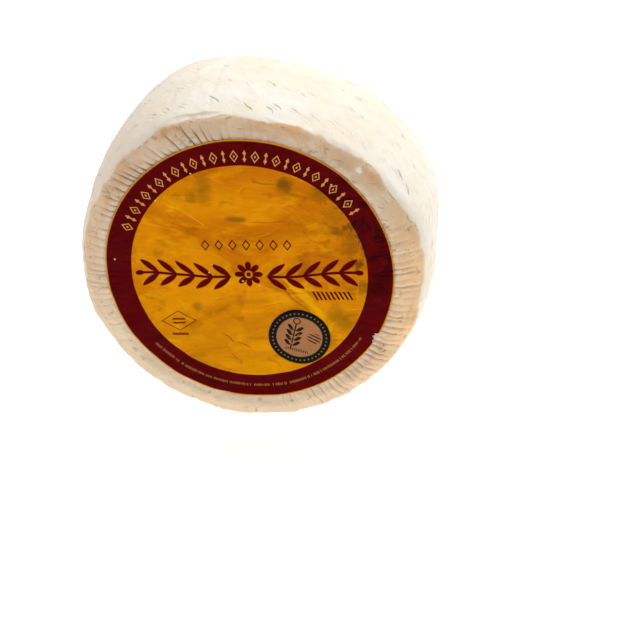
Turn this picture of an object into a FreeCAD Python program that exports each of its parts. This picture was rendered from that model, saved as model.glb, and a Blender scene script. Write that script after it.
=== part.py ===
import FreeCAD, Part

import os

import Sketcher

# A whole drum of semi-cured goat cheese, standing on its side. Its axis lies along Y, its labelled face
# looks along -Y, and the origin is on the floor, under the middle of the drum. Millimetres and degrees.
#
# The drum is pressed in a plaited mould. Both faces are flat in the middle and fall away to a rounded
# crest, and this sloping rim carries short radial pleats. The bulging side carries rows of slanted
# strokes. A round paper label with a torn spot lies on the front face, and a round seal on the label.

SIZES = {
    "belly_diameter": 174,  # across the middle of the bulging side
    "drum_thickness": 91,  # from face to face
    "side_rise": 6,  # how far the side bulges out past the crests
    "rim_width": 9.1,  # of the sloping rim, from the flat face out to the crest
    "rim_drop": 6.2,  # how far the crest lies back from the face
    "crest_round": 10,  # rounding of the crest
    "floor_flat": 2,  # depth of the flat spot that the drum rests on
    "pleat_count": 136,  # round each face
    "pleat_width": 1.2,
    "pleat_depth": 0.6,
    "plait_margin": 17,  # from a face to the middle line of the nearest row of strokes
    "row_pairs": 2,  # rows of strokes, counted in pairs outwards from the middle of the side
    "stroke_groups": 54,  # in a row
    "group_strokes": 3,  # in a group
    "stroke_pitch": 2.4,  # between the strokes of a group, along the drum's axis
    "stroke_length": 8,
    "stroke_width": 0.9,
    "stroke_depth": 0.6,
    "stroke_slant": 40,  # between a stroke and the row that it stands in
    "label_margin": 2.9,  # flat rind left round a label in the middle of the face
    "label_thickness": 0.3,
    "label_left": 0.3,  # how far the label lies off the middle of the face
    "label_up": 2.7,
    "tear_angle": -26,  # round the label, from +X towards +Z
    "tear_mouth": 7,  # width of the tear at the label's edge
    "tear_floor": 3,  # its width at its inner end
    "tear_depth": 3.5,
    "seal_diameter": 30,
    "seal_thickness": 0.2,
    "seal_angle": -54,  # round the label, from +X towards +Z
    "seal_inset": 13,  # from the label's edge to the seal's
}

BEYOND = 5  # how far a cutting shape reaches past the surface that it cuts

# expressions in the sheet's cells, shared by several pieces
HALF = "(Sizes.drum_thickness / 2)"
BELLY = "(Sizes.belly_diameter / 2)"
CREST = f"({BELLY} - Sizes.side_rise)"
FACE = f"({CREST} - Sizes.rim_width)"
LABEL = f"({FACE} - Sizes.label_margin)"
AXIS_HEIGHT = f"({BELLY} - Sizes.floor_flat)"
SIDE_ARC = f"((({HALF} - Sizes.rim_drop)^2 + Sizes.side_rise^2) / (2 * Sizes.side_rise))"

doc = FreeCAD.newDocument("goat_cheese")
sheet = doc.addObject("Spreadsheet::Sheet", "Sizes")
for row, (alias, number) in enumerate(SIZES.items(), start=1):
    sheet.set(f"A{row}", alias)
    sheet.set(f"B{row}", str(number))
    sheet.setAlias(f"B{row}", alias)
doc.recompute()


def value(expression):
    """What an expression in the sheet's cells comes to now."""
    return float(sheet.evalExpression(expression))


def new_body(label, along="0", right="0", up="0"):
    """An empty body with its origin at a place along the drum's axis, or beside that axis."""
    body = doc.addObject("PartDesign::Body", label)
    body.Label = label
    body.setExpression("Placement.Base.x", right)
    body.setExpression("Placement.Base.y", along)
    body.setExpression("Placement.Base.z", f"{AXIS_HEIGHT} + {up}")
    return body


def new_paper_body(label, along):
    """An empty body with its origin in the middle of the label."""
    return new_body(label, along, "-Sizes.label_left", "Sizes.label_up")


def origin_item(body, role):
    return next(item for item in body.Origin.OriginFeatures if item.Role == role)


def new_sketch(body, name, plane):
    sketch = body.newObject("Sketcher::SketchObject", name)
    sketch.AttachmentSupport = [(origin_item(body, plane), "")]
    sketch.MapMode = "FlatFace"
    return sketch


def fix(sketch, kind, *places):
    """Adds a geometric constraint."""
    sketch.addConstraint(Sketcher.Constraint(kind, *places))


def measure(sketch, name, expression, kind, *places):
    """Adds a dimension that the sheet drives."""
    sketch.addConstraint(Sketcher.Constraint(kind, *places, value(expression)))
    sketch.renameConstraint(sketch.ConstraintCount - 1, name)
    sketch.setExpression(f"Constraints.{name}", expression)


def add_line(sketch, start, end):
    return sketch.addGeometry(Part.LineSegment(FreeCAD.Vector(*start, 0), FreeCAD.Vector(*end, 0)))


def outline(sketch, points):
    """Straight lines through the points and back to the first, joined end to end."""
    ends = points[1:] + points[:1]
    lines = [add_line(sketch, start, end) for start, end in zip(points, ends, strict=True)]
    for line, following in zip(lines, lines[1:] + lines[:1], strict=True):
        fix(sketch, "Coincident", line, 2, following, 1)
    return lines


def rectangle(sketch, width, height):
    """A rectangle about the sketch's origin."""
    x = value(width) / 2
    y = value(height) / 2
    bottom, right, top, left = outline(sketch, [(-x, -y), (x, -y), (x, y), (-x, y)])
    for line in (bottom, top):
        fix(sketch, "Horizontal", line)
    for line in (right, left):
        fix(sketch, "Vertical", line)
    fix(sketch, "Symmetric", bottom, 1, top, 1, -1, 1)
    measure(sketch, "width", width, "DistanceX", bottom, 1, bottom, 2)
    measure(sketch, "height", height, "DistanceY", right, 1, right, 2)


def cut(body, name, sketch, length, **settings):
    """A pocket that stops the build if it removes nothing, because that shows no error."""
    pocket = body.newObject("PartDesign::Pocket", name)
    pocket.Profile = sketch
    pocket.Refine = False
    for setting, chosen in settings.items():
        setattr(pocket, setting, chosen)
    pocket.setExpression("Length", length)
    doc.recompute()
    if not pocket.Shape.Volume < pocket.BaseFeature.Shape.Volume:
        raise RuntimeError(f"{body.Label}: {name} removed nothing")
    return pocket


def polar_pattern(body, name, count):
    pattern = body.newObject("PartDesign::PolarPattern", name)
    pattern.Axis = (origin_item(body, "Y_Axis"), [""])
    pattern.Angle = 360
    pattern.setExpression("Occurrences", count)
    return pattern


def drum_profile(body):
    """Half of the drum's section: the sketch's x runs along the drum's axis, and its y out from it."""
    sketch = new_sketch(body, "drum_profile", "YZ_Plane")
    half = value(HALF)
    face = value(FACE)
    crest = value(CREST)
    back = value(f"{HALF} - Sizes.rim_drop")
    front_face = add_line(sketch, (-half, 0), (-half, face))
    front_rim = add_line(sketch, (-half, face), (-back, crest))
    back_rim = add_line(sketch, (back, crest), (half, face))
    back_face = add_line(sketch, (half, face), (half, 0))
    axis = add_line(sketch, (half, 0), (-half, 0))
    side = sketch.addGeometry(
        Part.Arc(
            FreeCAD.Vector(-back, crest, 0),
            FreeCAD.Vector(0, value(BELLY), 0),
            FreeCAD.Vector(back, crest, 0),
        )
    )
    fix(sketch, "Coincident", front_face, 2, front_rim, 1)
    fix(sketch, "Coincident", front_rim, 2, side, 2)  # an arc runs counterclockwise, so it ends in front
    fix(sketch, "Coincident", side, 1, back_rim, 1)
    fix(sketch, "Coincident", back_rim, 2, back_face, 1)
    fix(sketch, "Coincident", back_face, 2, axis, 1)
    fix(sketch, "Coincident", axis, 2, front_face, 1)
    fix(sketch, "PointOnObject", front_face, 1, -1)
    fix(sketch, "Vertical", front_face)
    fix(sketch, "Symmetric", front_face, 1, back_face, 2, -2)
    fix(sketch, "Symmetric", front_face, 2, back_face, 1, -2)
    fix(sketch, "Symmetric", front_rim, 2, back_rim, 1, -2)
    measure(sketch, "half_thickness", HALF, "DistanceX", front_face, 1, -1, 1)
    measure(sketch, "face_radius", FACE, "DistanceY", front_face, 1, front_face, 2)
    measure(sketch, "crest_radius", CREST, "DistanceY", -1, 1, front_rim, 2)
    measure(sketch, "rim_drop", "Sizes.rim_drop", "DistanceX", front_rim, 1, front_rim, 2)
    measure(sketch, "side_radius", SIDE_ARC, "Radius", side)
    return sketch


def turn_drum(body):
    drum = body.newObject("PartDesign::Revolution", "drum")
    drum.Profile = drum_profile(body)
    drum.ReferenceAxis = (origin_item(body, "Y_Axis"), [""])
    drum.Angle = 360
    doc.recompute()
    return drum


def round_crests(body, drum):
    """Rounds the two circular edges where the sloping rims meet the side."""
    crest = value(CREST)
    edges = []
    for number, edge in enumerate(drum.Shape.Edges, start=1):
        if isinstance(edge.Curve, Part.Circle) and abs(edge.Curve.Radius - crest) < 0.01:
            edges.append(f"Edge{number}")
    fillet = body.newObject("PartDesign::Fillet", "crest_rounding")
    fillet.Base = (drum, edges)
    fillet.setExpression("Radius", "Sizes.crest_round")
    doc.recompute()


def pleat(body, name, side):
    """A slot across the sloping rim, on the front (side -1) or the back (side 1)."""
    sketch = new_sketch(body, f"{name}_section", "YZ_Plane")
    floor = f"{HALF} - Sizes.pleat_depth"
    crest_floor = f"{floor} - Sizes.rim_drop"
    above = f"{HALF} + {BEYOND}"
    outside = f"{CREST} + {BEYOND}"
    points = [(floor, FACE), (above, FACE), (above, outside), (crest_floor, CREST)]
    corners = [(side * value(along), value(out)) for along, out in points]
    inner, top, outer, bottom = outline(sketch, corners)
    fix(sketch, "Horizontal", inner)
    fix(sketch, "Vertical", top)

    def measure_along(name, expression, line):
        ends = (line, 1, -1, 1) if side < 0 else (-1, 1, line, 1)
        measure(sketch, name, expression, "DistanceX", *ends)

    measure_along("floor", floor, inner)
    measure_along("above", above, top)
    measure_along("crest_floor", crest_floor, bottom)
    measure(sketch, "start", FACE, "DistanceY", -1, 1, inner, 1)
    measure(sketch, "outside", outside, "DistanceY", -1, 1, outer, 1)
    measure(sketch, "crest", CREST, "DistanceY", -1, 1, bottom, 1)
    return cut(body, name, sketch, "Sizes.pleat_width", SideType="Symmetric")


def pleat_rims(body):
    """The pleats of both faces, all the way round."""
    slots = [pleat(body, "front_pleat", -1), pleat(body, "back_pleat", 1)]
    pleats = polar_pattern(body, "pleats", "Sizes.pleat_count")
    pleats.Originals = slots
    pleats.Refine = False
    body.Tip = pleats
    doc.recompute()


def linear_pattern(body, name, count, length):
    """Repeats along the drum's axis."""
    pattern = body.newObject("PartDesign::LinearPattern", name)
    pattern.Direction = (origin_item(body, "Y_Axis"), [""])
    pattern.setExpression("Occurrences", count)
    pattern.setExpression("Length", length)
    return pattern


def plait_pair(body, pair):
    """The two rows of strokes that lie equally far in front of and behind the middle of the side."""
    row_pitch = "(Sizes.drum_thickness - 2 * Sizes.plait_margin) / (2 * Sizes.row_pairs - 1)"
    along = f"(({pair} + 0.5) * {row_pitch})"
    group_length = "((Sizes.group_strokes - 1) * Sizes.stroke_pitch)"
    # every other pair of rows is offset by half a group
    half_group = f"({pair % 2} * 3.14159 * {BELLY} / Sizes.stroke_groups)"
    sketch = new_sketch(body, f"stroke_outline_{pair}", "XY_Plane")
    sketch.setExpression("AttachmentOffset.Base.x", half_group)
    sketch.setExpression("AttachmentOffset.Base.y", f"-{along} - {group_length} / 2")
    sketch.setExpression("AttachmentOffset.Base.z", BELLY)
    sketch.setExpression("AttachmentOffset.Rotation.Angle", "-Sizes.stroke_slant")
    rectangle(sketch, "Sizes.stroke_length", "Sizes.stroke_width")
    fall = f"{SIDE_ARC} - sqrt({SIDE_ARC}^2 - {along}^2)"
    stroke = cut(body, f"stroke_{pair}", sketch, f"{fall} + Sizes.stroke_depth")
    plait = body.newObject("PartDesign::MultiTransform", f"plait_{pair}")
    plait.Originals = [stroke]
    plait.Refine = False
    plait.Transformations = [
        linear_pattern(body, f"group_{pair}", "Sizes.group_strokes", group_length),
        linear_pattern(body, f"rows_{pair}", "2", f"2 * {along}"),
        polar_pattern(body, f"round_{pair}", "Sizes.stroke_groups"),
    ]
    body.Tip = plait
    doc.recompute()


def rest_on_floor(body):
    """Cuts the flat spot under the drum."""
    sketch = new_sketch(body, "floor_plane", "XY_Plane")
    sketch.setExpression("AttachmentOffset.Base.z", f"-{AXIS_HEIGHT}")
    rectangle(sketch, "Sizes.drum_thickness", "Sizes.drum_thickness")
    cut(body, "floor_flat", sketch, f"Sizes.floor_flat + {BEYOND}")


def make_cheese():
    body = new_body("cheese")
    drum = turn_drum(body)
    round_crests(body, drum)
    pleat_rims(body)
    for pair in range(SIZES["row_pairs"]):
        plait_pair(body, pair)
    rest_on_floor(body)
    return body


def disc(body, name, radius, thickness, out=None, angle="0"):
    """A round sheet in front of the body's XZ plane, with its middle out along a line at an angle."""
    sketch = new_sketch(body, f"{name}_outline", "XZ_Plane")
    sketch.setExpression("AttachmentOffset.Rotation.Angle", angle)
    middle = FreeCAD.Vector(value(out) if out else 0, 0, 0)
    circle = sketch.addGeometry(Part.Circle(middle, FreeCAD.Vector(0, 0, 1), value(radius)))
    measure(sketch, "radius", radius, "Radius", circle)
    if out:
        fix(sketch, "PointOnObject", circle, 3, -1)
        measure(sketch, "out", out, "DistanceX", -1, 1, circle, 3)
    else:
        fix(sketch, "Coincident", circle, 3, -1, 1)
    sheet_pad = body.newObject("PartDesign::Pad", name)
    sheet_pad.Profile = sketch
    sheet_pad.setExpression("Length", thickness)
    doc.recompute()


def tear_edge(body):
    """Takes the torn spot out of the label's edge."""
    sketch = new_sketch(body, "tear_outline", "XZ_Plane")
    sketch.setExpression("AttachmentOffset.Rotation.Angle", "Sizes.tear_angle")
    inner = f"{LABEL} - Sizes.tear_depth"
    mouth = value("Sizes.tear_mouth") / 2
    floor = value("Sizes.tear_floor") / 2
    edge = value(LABEL)
    lower, outer, upper, end = outline(
        sketch, [(value(inner), -floor), (edge, -mouth), (edge, mouth), (value(inner), floor)]
    )
    fix(sketch, "Symmetric", lower, 1, end, 1, -1)
    fix(sketch, "Symmetric", outer, 1, upper, 1, -1)
    measure(sketch, "inner", inner, "DistanceX", -1, 1, lower, 1)
    measure(sketch, "edge", LABEL, "DistanceX", -1, 1, outer, 1)
    measure(sketch, "mouth", "Sizes.tear_mouth", "DistanceY", outer, 1, outer, 2)
    measure(sketch, "floor", "Sizes.tear_floor", "DistanceY", lower, 1, end, 1)
    cut(body, "tear", sketch, "Sizes.label_thickness", Reversed=True)


def make_label():
    body = new_paper_body("label", f"-{HALF}")
    disc(body, "paper", LABEL, "Sizes.label_thickness")
    tear_edge(body)
    return body


def make_seal():
    body = new_paper_body("seal", f"-{HALF} - Sizes.label_thickness")
    radius = "(Sizes.seal_diameter / 2)"
    out = f"{LABEL} - Sizes.seal_inset - {radius}"
    disc(body, "sticker", radius, "Sizes.seal_thickness", out, "Sizes.seal_angle")
    return body


def check(bodies):
    """Every object has to be computed, and every piece has to be one valid closed solid."""
    doc.recompute()
    for item in doc.Objects:
        if {"Invalid", "Error"} & set(item.State):
            raise RuntimeError(f"{item.Label} is {item.State}")
    for body in bodies:
        shape = body.Shape
        if shape.isNull() or not shape.isValid() or len(shape.Solids) != 1:
            raise RuntimeError(f"{body.Label} is not one valid solid")
        print(f"{body.Label}: {shape.Volume / 1000:.1f} cm3, {len(shape.Faces)} faces")


def main():
    bodies = [make_cheese(), make_label(), make_seal()]
    check(bodies)
    os.makedirs("parts", exist_ok=True)
    for body in bodies:
        body.Shape.exportStep(f"parts/{body.Label}.step")


main()
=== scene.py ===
import functools
import math

import bpy
import numpy as np
from mathutils import Euler, Matrix, Vector, noise


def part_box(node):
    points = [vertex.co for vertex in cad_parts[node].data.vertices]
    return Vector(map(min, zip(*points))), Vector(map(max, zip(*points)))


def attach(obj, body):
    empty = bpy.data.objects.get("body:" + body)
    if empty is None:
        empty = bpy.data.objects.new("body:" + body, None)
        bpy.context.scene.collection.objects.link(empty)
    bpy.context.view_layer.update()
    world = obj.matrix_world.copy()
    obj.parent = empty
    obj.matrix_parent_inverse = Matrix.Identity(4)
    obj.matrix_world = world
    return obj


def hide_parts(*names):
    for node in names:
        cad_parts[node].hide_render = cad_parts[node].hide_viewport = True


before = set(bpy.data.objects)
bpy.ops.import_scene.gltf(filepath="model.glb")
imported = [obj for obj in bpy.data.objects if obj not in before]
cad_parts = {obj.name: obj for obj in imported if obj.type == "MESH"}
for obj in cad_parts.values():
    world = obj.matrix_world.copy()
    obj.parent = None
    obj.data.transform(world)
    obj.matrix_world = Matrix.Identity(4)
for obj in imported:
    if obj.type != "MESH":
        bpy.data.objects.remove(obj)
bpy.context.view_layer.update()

drumLow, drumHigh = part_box("cheese")
labelLow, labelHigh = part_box("label")
sealLow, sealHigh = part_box("seal")

bellyRadius = (drumHigh.x - drumLow.x) / 2
axisHeight = drumHigh.z - bellyRadius
halfThickness = drumHigh.y
labelRadius = (labelHigh.z - labelLow.z) / 2
labelMiddle = Vector((labelLow.x + labelRadius, labelLow.y, labelLow.z + labelRadius))
sealRadius = (sealHigh.z - sealLow.z) / 2
sealMiddle = (sealLow + sealHigh) / 2


class Wire:
    # a socket that can be used in sums, each of which adds a Math node
    def __init__(self, finish, socket):
        self.finish = finish
        self.socket = socket

    def math(self, operation, *others):
        values = dict(enumerate((self, *others)))
        return self.finish.node("Math", {"operation": operation}, values)

    def __add__(self, other):
        return self.math("ADD", other)

    def __radd__(self, other):
        return self.math("ADD", other)

    def __sub__(self, other):
        return self.math("SUBTRACT", other)

    def __rsub__(self, other):
        return self.finish.node("Math", {"operation": "SUBTRACT"}, {0: other, 1: self})

    def __mul__(self, other):
        return self.math("MULTIPLY", other)

    def __truediv__(self, other):
        return self.math("DIVIDE", other)

    def __abs__(self):
        return self.math("ABSOLUTE")

    def __mod__(self, other):
        return self.math("FLOORED_MODULO", other)

    def __pow__(self, other):
        return self.math("POWER", other)

    def larger(self, other):
        return self.math("MAXIMUM", other)

    def floor(self):
        return self.math("FLOOR")


def lengthOf(right, up):
    return (right * right + up * up).math("SQRT")


def strongest(wires):
    return functools.reduce(Wire.larger, wires)


class Finish:
    # a material and the nodes in it
    def __init__(self, name):
        self.material = bpy.data.materials.new(name)
        self.material.use_nodes = True
        self.tree = self.material.node_tree
        self.tree.nodes.clear()

    def node(self, kind, settings=None, values=None, out=0):
        made = self.tree.nodes.new("ShaderNode" + kind)
        for name, value in (settings or {}).items():
            setattr(made, name, value)
        for name, value in (values or {}).items():
            socket = made.inputs[name]
            if isinstance(value, Wire):
                self.tree.links.new(value.socket, socket)
            else:
                socket.default_value = value
        return Wire(self, made.outputs[out])

    def fade(self, value, start, end):
        # 0 below start, 1 above end, smooth between; start may be the larger
        return self.node(
            "MapRange", {"interpolation_type": "SMOOTHSTEP"}, {0: value, 1: start, 2: end, 3: 0.0, 4: 1.0}
        )

    def blend(self, amount, under, over):
        # the Mix node has its colour sockets at 6 and 7 and its colour result at 2
        return self.node("Mix", {"data_type": "RGBA"}, {0: amount, 6: under, 7: over}, out=2)

    def layers(self, ground, *layers):
        # each layer is where it lies, how strongly, and its colour
        for where, strength, colour in layers:
            ground = self.blend(where * strength, ground, colour)
        return ground

    def place(self, shift=(0, 0, 0), turn=(0, 0, 0), scale=(1, 1, 1)):
        # object coordinates in metres, moved, turned and scaled
        where = self.node("TexCoord", out="Object")
        moved = self.node("VectorMath", {"operation": "SUBTRACT"}, {0: where, 1: shift})
        values = {"Vector": moved, "Rotation": turn, "Scale": scale}
        return self.node("Mapping", {"vector_type": "POINT"}, values)

    def scaled(self, vector, factor):
        return self.node("VectorMath", {"operation": "SCALE"}, {0: vector, "Scale": factor})

    def split(self, vector):
        return [self.node("SeparateXYZ", values={0: vector}, out=axis) for axis in range(3)]

    def noise(self, vector, scale, detail=3.0, rough=0.55, warp=0.0):
        values = {"Vector": vector, "Scale": scale, "Detail": detail, "Roughness": rough, "Distortion": warp}
        return self.node("TexNoise", {"noise_dimensions": "3D"}, values)

    def attribute(self, name):
        return self.node("Attribute", {"attribute_name": name}, out="Fac")

    def surface(self, settings, height=None, distance=0.001):
        # the height is in units of the distance
        values = dict(settings)
        if height is not None:
            bump = {"Height": height, "Distance": distance, "Strength": 1.0}
            values["Normal"] = self.node("Bump", values=bump)
        shader = self.node("BsdfPrincipled", values=values)
        output = self.tree.nodes.new("ShaderNodeOutputMaterial")
        self.tree.links.new(shader.socket, output.inputs["Surface"])
        return self.material


def linear(red, green, blue):
    # a screen colour from 0 to 255 as the linear colour that nodes take
    def channel(value):
        value /= 255
        return value / 12.92 if value <= 0.04045 else ((value + 0.055) / 1.055) ** 2.4
    return (channel(red), channel(green), channel(blue), 1.0)


def bell(value, middle, width):
    return np.exp(-(((value - middle) / width) ** 2))


def turnedFrom(angle, middle):
    # difference between two angles in degrees, from -180 to 180
    return (angle - middle + 180) % 360 - 180


fractal = dict(smoothness=0.8, step=2.1)  # how fast the octaves fade, and how much finer each one is


def bumpy(points, scale, octaves, seed):
    # fractal noise at each point, about -1 to 1
    shift = Vector((seed, seed * 0.7, -seed))
    smoothness, step = fractal["smoothness"], fractal["step"]
    return np.array([noise.fractal(Vector(p) * scale + shift, smoothness, step, octaves) for p in points])


def meshPiece(name, points, faces, attributes=None):
    mesh = bpy.data.meshes.new(name)
    mesh.from_pydata(points.tolist(), [], faces)
    mesh.polygons.foreach_set("use_smooth", [True] * len(faces))
    for key, values in (attributes or {}).items():
        layer = mesh.attributes.new(key, "FLOAT", "POINT")
        layer.data.foreach_set("value", np.ascontiguousarray(values, dtype=np.float32))
    mesh.update()
    piece = bpy.data.objects.new(name, mesh)
    bpy.context.collection.objects.link(piece)
    return piece


def closedFaces(rings, steps):
    # quads between rings of points that run the same way round, and a fan at either end;
    # the middle points of the two fans come after the rings
    faces = []
    for ring in range(rings - 1):
        start = ring * steps
        for step in range(steps):
            following = (step + 1) % steps
            faces.append((start + step, start + following, start + steps + following, start + steps + step))
    last = (rings - 1) * steps
    middles = rings * steps
    for step in range(steps):
        following = (step + 1) % steps
        faces.append((following, step, middles))
        faces.append((last + step, last + following, middles + 1))
    return faces


# grooves pressed into both rims; the paper of the label is stretched over some of them
pleats = dict(
    seed=11,
    count=136,
    stepsEach=6,
    forces=(0.35, 1.1),  # shares of the depth, from the weakest to the strongest
    jitter=0.20,  # of a pleat's width
    depth=0.0010,
    sharpness=1.9,  # how narrow the grooves are against the ridges between them
    reach=(0.0600, 0.0665, 0.0755, 0.0800),  # from the axis: where they begin, are full, thin out and end
    endsApart=0.0032,  # how far the outer ends differ
    waver=0.13,  # of a pleat's width
    waverScale=110.0,
    waverRound=0.14,  # size of the circle on which the waver is read
    waverFrom=0.030,  # from the axis: it starts here and is full at twice that
    paperShare=0.42,  # of the depth, under paper
    # where they are strong: degrees round the face, spread, strength
    strong=[(138, 22, 1.0), (106, 18, 0.9), (186, 24, 0.6), (8, 18, 0.55), (-38, 24, 0.9), (-72, 14, 0.5)],
    paperStrong=[(182, 20, 0.9), (14, 16, 0.8), (-44, 20, 1.0), (-76, 12, 0.6)],
    lean=[(120, 38, 30), (-40, 40, 6)],  # degrees round the face, spread, lean
    weakest=0.08,
)

dice = np.random.default_rng(pleats["seed"])
pleatShift = dice.uniform(-pleats["jitter"], pleats["jitter"], pleats["count"])
pleatForce = dice.uniform(*pleats["forces"], pleats["count"])
pleatEnd = np.repeat(dice.uniform(-1, 1, pleats["count"]), pleats["stepsEach"]) * pleats["endsApart"]


def pleatAngles():
    # angles of the mesh's spokes: each pleat starts at a groove and is cut in the same number of steps
    edges = (np.arange(pleats["count"]) + pleatShift) * 2 * math.pi / pleats["count"]
    ends = np.append(edges[1:], edges[0] + 2 * math.pi)
    share = np.arange(pleats["stepsEach"]) / pleats["stepsEach"]
    return (edges[:, None] + (ends - edges)[:, None] * share[None, :]).ravel()


spokes = pleatAngles()
steps = len(spokes)


def bells(places, angle):
    # sum of soft humps round the drum, each given as degrees, spread and height
    degrees = np.degrees(angle)
    return sum(height * bell(turnedFrom(degrees, middle), 0, width) for middle, width, height in places)


def leaningAngles(radius):
    # the spokes lean and waver on their way out; takes one radius or one for each spoke
    radius = np.broadcast_to(radius, spokes.shape)
    outwards = np.log(np.maximum(radius, pleats["reach"][0]) / labelRadius)
    size = pleats["waverRound"]
    around = np.column_stack([np.cos(spokes) * size, np.sin(spokes) * size, radius])
    waver = pleats["waver"] * 2 * math.pi / pleats["count"] * bumpy(around, pleats["waverScale"], 2, 6.3)
    fade = np.clip((radius - pleats["waverFrom"]) / pleats["waverFrom"], 0, 1)
    return spokes + np.tan(np.radians(bells(pleats["lean"], spokes))) * outwards + waver * fade


def pleatCut(radius, strength):
    # depth of the grooves at every spoke
    begin, full, thin, end = pleats["reach"]
    within = np.clip((radius - begin) / (full - begin), 0, 1)
    within = within * np.clip((end + pleatEnd - radius) / (end - thin), 0, 1)
    share = np.tile(np.arange(pleats["stepsEach"]) / pleats["stepsEach"], pleats["count"])
    fromGroove = np.minimum(share, 1 - share) * 2
    groove = 1 - np.sin(np.pi / 2 * np.clip(fromGroove * pleats["sharpness"], 0, 1))
    force = np.repeat(pleatForce, pleats["stepsEach"])
    strong = np.maximum(pleats["weakest"], np.clip(bells(strength, spokes), 0, 1.1))
    return pleats["depth"] * within * groove * force * strong


# soft dents in the flat faces; a slant says how they lie and how far they are squeezed, in x and z
faceDents = dict(
    coarse=0.0008,
    coarseScale=34.0,
    coarseSlant=((0.8, 0.6), (-1.02, 1.36)),
    endsOver=0.004,  # the dents run out over this, round the face's edge
    fine=0.00020,
    fineScale=72.0,
    fineSlant=((0.6, 0.8), (-1.21, 2.2)),
)


def slanted(x, z, slant):
    across, along = np.array(slant) @ np.vstack([x, z])
    return np.column_stack([across, along, np.zeros(len(x))])


def dents(x, z):
    # how far the face lies back, in front view coordinates; never less than nothing
    coarse = bumpy(slanted(x, z, faceDents["coarseSlant"]), faceDents["coarseScale"], 2, 3.1)
    fine = bumpy(slanted(x, z, faceDents["fineSlant"]), faceDents["fineScale"], 3, 8.4)
    depth = faceDents["coarse"] * (0.55 + coarse) + faceDents["fine"] * (0.8 + fine)
    return np.clip(depth, 0, None)


def onFace(radius):
    # 1 on the flat face, 0 on the rim
    edge = faceRadius + faceDents["endsOver"] / 2
    return np.clip((edge - radius) / faceDents["endsOver"], 0, 1)


rind = dict(
    crestRadius=0.0810,
    rimWidth=0.0091,
    rimDrop=0.0062,
    crestRounding=0.0035,  # from the crest's corner to where the rounding starts, along each side
    faceRounding=0.0022,  # each way from the line where the face turns into the rim
    # rings of points: from, to and how many, by their distance from the axis
    middleRings=(0.004, 0.045, 7),
    labelRings=(0.048, 0.065, 9),
    pleatRings=(0.0662, 14),  # up to just before the rounding
    beforeRounding=0.0006,
    roundingRings=9,
    afterRounding=0.0012,
    sideRings=22,
    lump=0.0005,
    lumpScale=22.0,
    roughness=0.00045,
    roughScale=150.0,
    crestSpread=0.005,
    crestWander=0.0009,
    crestWanderScale=3.4,
    crestPush=0.0010,  # evens out the lumps, which go inwards
    bulges=[(190, 30, 0.0012), (5, 28, 0.0010)],  # degrees round the face, spread, height
    # the drum isn't quite round: degrees, spread, height
    uneven=[(123, 19, 0.0031), (78, 20, -0.0030), (20, 13, 0.0030)],
    unevenFrom=0.072,  # from the axis: the face stays round
    unevenOver=0.010,
    underLabel=0.00045,  # how far the face lies back under the label
    underLabelOver=0.0015,
    pastLabel=0.0003,
    whiteFrom=0.0792,  # from the axis: where the tan rim starts to turn into the white side
    whiteOver=0.0024,
    whiteWander=0.0013,
    whiteWanderScale=5.5,
    seamAngle=103,
    seamSpread=0.8,
    seamDepth=0.0004,
    lip=(107, 9, 0.0007),  # a fold along the crest: degrees round the face, spread, depth
    lipAt=(0.0082, 0.0009),  # behind the front face, spread
    # where the painted shadow line under the fold lies: behind the front face, spread
    lipShade=(0.0098, 0.0010),
    backShift=0.3,  # so that the back face gets dents of its own
)
faceRadius = rind["crestRadius"] - rind["rimWidth"]
rimSlope = rind["rimDrop"] / rind["rimWidth"]


def faceFall(radius):
    # how far the face and its rim lie back, at a distance from the axis
    rounding = rind["faceRounding"]
    past = np.clip(radius - faceRadius + rounding, 0, None)
    turning = rimSlope * np.minimum(past, 2 * rounding) ** 2 / (4 * rounding)
    return turning + rimSlope * np.clip(past - 2 * rounding, 0, None)


def drumOutline():
    # distances behind the front face and out from the axis, from the middle of the front to the side's middle
    corner = np.array([rind["rimDrop"], rind["crestRadius"]])
    rimWay = np.array([rimSlope, 1.0]) / math.hypot(rimSlope, 1.0)
    halfChord = halfThickness - rind["rimDrop"]
    rise = bellyRadius - rind["crestRadius"]
    sideRadius = (halfChord**2 + rise**2) / (2 * rise)

    def side(behind):
        along = halfThickness - behind
        return np.array([behind, bellyRadius - sideRadius + math.sqrt(sideRadius**2 - along**2)])

    roundStart = corner - rimWay * rind["crestRounding"]
    roundEnd = side(rind["rimDrop"] + rind["crestRounding"])
    firstPleatRing, pleatRings = rind["pleatRings"]
    radii = np.concatenate([
        np.linspace(*rind["middleRings"]),
        np.linspace(*rind["labelRings"]),
        np.linspace(firstPleatRing, roundStart[1] - rind["beforeRounding"], pleatRings),
    ])
    points = [np.array([faceFall(radius), radius]) for radius in radii]
    for share in np.linspace(0, 1, rind["roundingRings"]):
        points.append(roundStart * (1 - share) ** 2 + 2 * corner * share * (1 - share) + roundEnd * share**2)
    firstSide = roundEnd[0] + rind["afterRounding"]
    points += [side(behind) for behind in np.linspace(firstSide, halfThickness, rind["sideRings"])]
    return np.array(points)


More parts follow.
